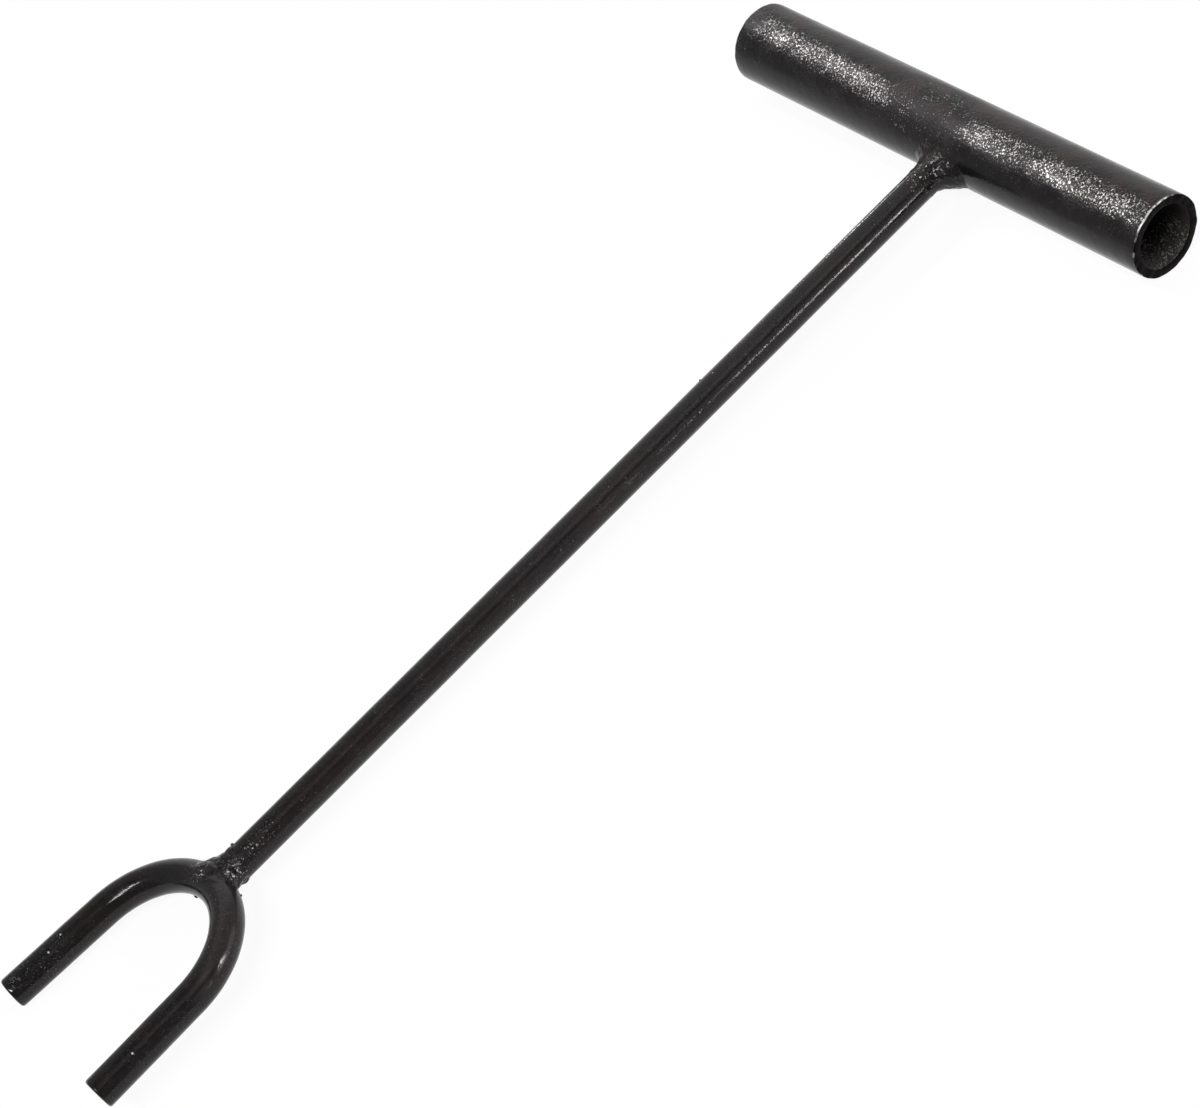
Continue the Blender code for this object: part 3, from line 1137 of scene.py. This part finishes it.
@dataclass
class ForkWeld(Bead):
    """The weld between the shaft's end and the crown, swept into the left arm and necked on the right.

    Each blob of weld metal is its middle, from the crown with Y up the shaft, and its half widths.
    """

    name = "fork_weld_bead"
    node = "fork_weld"
    slot = "fork_weld_paint"

    fork: Fork = field(default_factory=Fork)
    lumps: float = 0.30 * MM
    heart: Place = mm(-2.0, 4.5, 0.0)
    axis_weights: Place = (1.0, 1.0, 0.0)
    sweep: float = 9.0 * MM
    elbow: float = 5.00 * MM
    crown: float = 4.96 * MM
    arc: float = math.radians(34.0)
    bend_steps: int = 32
    neck: Place = mm(4.40, 5.12, 13.0)
    neck_off: float = -0.40 * MM
    blobs: tuple[tuple[float, ...], ...] = (
        mm(-6.9, 2.2, 3.8, 0.8, 0.9, 0.8),
        mm(-5.6, 0.2, 4.3, 0.8, 0.9, 0.8),
        mm(-4.4, -2.2, 4.1, 0.8, 0.9, 0.8),
        mm(-6.5, 1.0, -4.1, 1.3, 2.4, 0.9),
        mm(2.3, 7.9, 3.2, 2.1, 1.8, 1.45),
        mm(3.7, 6.8, 1.7, 0.9, 1.2, 1.2),
        mm(1.0, 7.4, -4.2, 2.4, 1.4, 0.9),
        mm(-1.4, 3.0, 2.6, 5.6, 4.8, 2.65),
        mm(-1.4, 3.0, -2.6, 5.6, 4.8, 2.65),
    )

    def rough_shape(self) -> BMesh:
        """Sets out an elbow from the shaft into the left arm, a neck, a stretch of the crown and the lumps.

        Returns:
            The shapes, overlapping.
        """
        bm = bmesh.new()
        bend = self.fork.bend
        turn_at = self.sweep + STOCK.bar
        tall = math.sqrt((bend + turn_at) ** 2 - turn_at ** 2) - bend
        turn = math.asin((bend + tall) / (bend + turn_at))
        start = Matrix.Translation((0.0, tall, 0.0)) @ ALONG_SHAFT
        self.add_bend(bm, start, self.elbow, Vector((-turn_at, tall, 0.0)), -turn)
        wide, thick, deep = self.neck
        foot = Matrix.Translation((self.neck_off, deep / 2, 0.0)) @ Matrix.Diagonal((wide, 1.0, thick, 1.0))
        bmesh.ops.create_cone(
            bm, cap_ends=True, segments=self.sides, radius1=1.0, radius2=1.0, depth=deep,
            matrix=foot @ ALONG_SHAFT,
        )
        middle = Vector((0.0, -bend, 0.0))
        swing = Matrix.Translation(middle) @ Matrix.Rotation(-self.arc, 4, "Z") @ Matrix.Translation(-middle)
        self.add_bend(bm, swing @ ALONG_HANDLE, self.crown, middle, 2 * self.arc)
        for blob in self.blobs:
            add_lump(bm, blob[:3], blob[3:])
        return bm

    def add_bend(self, bm: BMesh, start: Matrix, radius: float, middle: Vector, angle: float) -> None:
        """Spins a stretch of bent bar.

        Args:
            bm: The rough shapes so far.
            start: Where the bar's first section lies.
            radius: The bar's radius.
            middle: The middle of the bend.
            angle: The bend's angle about the way up.
        """
        ring = bmesh.ops.create_circle(
            bm, cap_ends=True, segments=self.sides, radius=radius, matrix=start
        )["verts"]
        geom = list({g for v in ring for g in (*v.link_edges, *v.link_faces)}) + ring
        bmesh.ops.spin(bm, geom=geom, cent=middle, axis=Axis.UP.value, angle=angle, steps=self.bend_steps)

    def place(self) -> Matrix:
        """The crown's middle, turned about the shaft with the fork."""
        return Matrix.Translation((0.0, -STOCK.reach, 0.0)) @ Matrix.Rotation(self.fork.roll, 4, "Y")


@dataclass
class Spatter(Piece):
    """Grains of weld spatter and beads of paint that dried on the bar, each by its middle and radius."""

    name = "weld_spatter"
    slot = "fork_weld_paint"

    stretch: Span = (3.0 * MM, 0.35)
    grains: tuple[tuple[float, ...], ...] = (
        mm(-3.4, -304.5, 3.75, 0.55),
        mm(-5.5, -321.4, -2.9, 0.70),
        mm(9.3, -313.1, 0.1, 0.42),
        mm(2.2, -306.4, 4.35, 0.30),
        mm(0.6, -308.2, 4.9, 0.36),
        mm(3.4, -304.9, 3.6, 0.26),
        mm(1.5, -25.2, 4.70, 0.26),
        mm(3.0, -20.9, 4.15, 0.34),
        mm(-1.3, -101.1, 4.65, 0.40),
        mm(2.5, -117.0, 4.20, 0.40),
        mm(-3.4, -112.0, 3.55, 0.40),
    )

    def shape(self) -> BMesh:
        """Sinks each grain halfway into the bar, a little out of round.

        Returns:
            The grains.
        """
        bm = bmesh.new()
        for *middle, radius in self.grains:
            long = 1.0 + uneven(Vector(middle), [self.stretch])
            add_lump(bm, middle, (radius, radius * long, radius / long))
        return bm

    def dress(self, coat: Coat) -> None:
        """Leaves the grains in plain paint."""


@dataclass(frozen=True)
class Lamp:
    """A lamp hung some way off, on one side of what it shines at."""

    name: str
    toward: Place
    aim: Place
    far: float

    def light(self) -> bpy.types.Light:
        """The lamp's light."""
        raise NotImplementedError

    def build(self) -> None:
        """Hangs the lamp."""
        lamp = add_object(self.name, self.light())
        out = Vector(self.toward).normalized()
        lamp.location = Vector(self.aim) + out * self.far
        lamp.rotation_euler = out.to_track_quat("Z", "Y").to_euler()


@dataclass(frozen=True)
class Panel(Lamp):
    """A soft panel, with a grid in front of it if it has a beam."""

    size: Span
    radiance: float
    beam: Optional[float] = None

    def light(self) -> bpy.types.Light:
        """Makes the panel.

        Returns:
            Its light, as bright in the middle of a beam as without one.
        """
        data = bpy.data.lights.new(self.name, "AREA")
        data.shape = "RECTANGLE"
        data.size, data.size_y = self.size
        data.energy = self.radiance * math.pi * self.size[0] * self.size[1]
        if self.beam:
            data.spread = self.beam
            data.energy *= 1.0 - self.beam / 2 / math.tan(self.beam / 2)
        return data


@dataclass(frozen=True)
class Snoot(Lamp):
    """A narrow soft-edged lamp on one half of the handle."""

    strength: float
    spread: float = math.radians(5.2)
    radius: float = 0.035

    def light(self) -> bpy.types.Light:
        """Makes the lamp.

        Returns:
            Its light.
        """
        data = bpy.data.lights.new(self.name, "SPOT")
        data.shadow_soft_size = self.radius
        data.spot_size = self.spread
        data.spot_blend = 1.0
        data.energy = self.strength * 4 * math.pi * self.far ** 2
        return data


@dataclass
class Studio:
    """The floor, the surroundings, the lamps and the camera."""

    floor: Colour = (0.90, 0.90, 0.90, 1.0)
    lift: float = 0.92
    drop: float = 0.05 * MM
    side: float = 60.0
    front: float = 0.16
    left: float = 0.45
    back: float = 1.08
    horizon: float = 2.0
    flag: float = 0.32
    gap: float = 0.72
    sensor: float = 36.0
    lens: float = 93.36854
    clip: float = 0.01
    eye: Place = (0.612995, -0.174499, 0.657447)
    turn: Place = (39.226407, 21.525861, 48.453858)
    joint: Place = (0.0, 0.15, 0.01)
    bend: Place = (0.03, -0.14, 0.015)
    beam: float = math.radians(12.0)

    def lamps(self) -> list[Lamp]:
        """Chooses the lamps: two on the handle, three strips on the joint and the fork, and soft panels.

        Returns:
            The lamps.
        """
        joint, beam = self.joint, self.beam
        return [
            Snoot("handle_left", (-0.67, -0.01, 0.73), (-0.062, 0.183, 0.02), 1.5, 1.4),
            Snoot("handle_right", (-0.60, -0.25, 0.75), (0.055, 0.183, 0.02), 1.5, 1.6),
            Panel("strip_right", (0.92, 0.345, 0.17), joint, 2.0, (0.36, 0.8), 42.0, beam),
            Panel("strip_left", (-0.925, 0.37, 0.10), joint, 2.0, (0.20, 0.4), 32.0, beam),
            Panel("fork_right", (0.58, 0.70, 0.41), self.bend, 2.0, (0.24, 0.6), 90.0, beam),
            Panel("overhead", (0.25, -0.02, 0.968), ORIGIN, 4.0, (0.8, 1.5), 0.45),
            Panel("ridge", (0.20, 0.25, 0.95), ORIGIN, 4.0, (0.5, 1.3), 0.7),
            Panel("front", (0.22, -0.46, 0.86), ORIGIN, 4.0, (2.2, 0.18), 85.0),
            Panel("behind", (0.66, 0.72, 0.21), ORIGIN, 4.0, (1.2, 0.4), 6.0),
        ]

    def paper(self) -> bpy.types.Material:
        """Makes the floor's paper, whose colour the eye and reflections see lifted towards white.

        Returns:
            The material.
        """
        made = bpy.data.materials.new("floor_paper")
        made.use_nodes = True
        graph = Graph(made.node_tree)
        path = graph.node("ShaderNodeLightPath")
        seen = Value(graph, path.outputs["Is Camera Ray"]) + Value(graph, path.outputs["Is Glossy Ray"])
        seen = seen + Value(graph, path.outputs["Is Transmission Ray"])
        matt = graph.value(0, "ShaderNodeBsdfDiffuse", {}, {"Color": self.floor})
        white = graph.value(0, "ShaderNodeEmission", {}, {"Color": WHITE, "Strength": 1.0})
        shown = graph.value(0, "ShaderNodeMixShader", {}, {0: seen * self.lift, 1: matt, 2: white})
        graph.node("ShaderNodeOutputMaterial", {}, {"Surface": shown})
        return made

    def lay_floor(self) -> None:
        """Lays the pale floor just under the tool."""
        bm = bmesh.new()
        bmesh.ops.create_grid(bm, x_segments=1, y_segments=1, size=self.side / 2)
        bmesh.ops.translate(bm, vec=(0.0, 0.0, -self.drop), verts=bm.verts)
        floor = add_mesh("studio_floor", bm, self.paper())

    def light_world(self) -> None:
        """Makes surroundings that are pale behind the tool, brightest low down there, and dim in front."""
        world = bpy.data.worlds.new("studio")
        bpy.context.scene.world = world
        world.use_nodes = True
        graph = Graph(world.node_tree)
        side, depth, rise = graph.parts(graph.value("Generated", "ShaderNodeTexCoord"))
        left = side.fade(0.12, -0.05) * rise.fade(0.90, 0.78)
        behind = depth.fade(0.02, 0.30)
        flagged = depth.fade(0.34, 0.50) * side.fade(-0.55, -0.30)
        gap = side.fade(0.42, 0.55) * side.fade(0.78, 0.66) * rise.fade(0.35, 0.55)
        low = rise.fade(0.48, 0.34) * depth.fade(0.45, 0.80) * side.fade(0.00, 0.22)
        near = left.between(self.front, self.left)
        dome = near + (self.back - near) * behind
        dome = dome * (1.0 - self.flag * flagged) * (1.0 - self.gap * gap)
        strength = dome + (self.horizon - dome) * low
        sky = graph.value(0, "ShaderNodeBackground", {}, {"Color": WHITE, "Strength": strength})
        graph.node("ShaderNodeOutputWorld", {}, {"Surface": sky})

    def set_camera(self) -> None:
        """Sets the camera at the photograph's viewing angle."""
        data = bpy.data.cameras.new("camera")
        data.sensor_fit = "HORIZONTAL"
        data.sensor_width = self.sensor
        data.lens = self.lens
        data.clip_start = self.clip
        camera = add_object("camera", data)
        camera.location = self.eye
        camera.rotation_euler = tuple(math.radians(angle) for angle in self.turn)
        bpy.context.scene.camera = camera

    def build(self) -> None:
        """Sets the whole studio up."""
        self.set_camera()
        self.lay_floor()
        self.light_world()
        for lamp in self.lamps():
            lamp.build()
        bpy.context.scene.view_settings.view_transform = "Standard"


def main() -> None:
    """Builds the studio and every piece in order."""
    logging.basicConfig(level=logging.INFO, format="%(name)s %(message)s")
    Studio().build()
    fork = Fork()
    handle_paint = BlackPaint(
        "handle_black", brown=(0.0058, 0.0046, 0.0045, 1.0), gloss=0.285,
        grain_height=0.26 * MM, grain_size=0.80 * MM,
    )
    bar_paint = BlackPaint(
        "bar_black", black=(0.0072, 0.0066, 0.0070, 1.0), brown=(0.0100, 0.0076, 0.0066, 1.0), film=0.45,
        gloss=0.075, gloss_spread=0.10, grain_height=0.030 * MM, grain_size=0.60 * MM, peel_size=1.5 * MM,
        peel_height=0.045 * MM, lump_height=0.06 * MM,
    )
    weld_paint = replace(bar_paint, name="weld_black", grain_height=0.10 * MM, peel_size=1.6 * MM)
    spatter_paint = replace(bar_paint, name="spatter_black", lump_height=0.0)
    Handle().build(handle_paint)
    Shaft().build(bar_paint)
    fork.build(bar_paint)
    HandleWeld().build(weld_paint)
    ForkWeld(fork=fork).build(weld_paint)
    Spatter().build(spatter_paint)


if __name__ == "__main__":
    main()
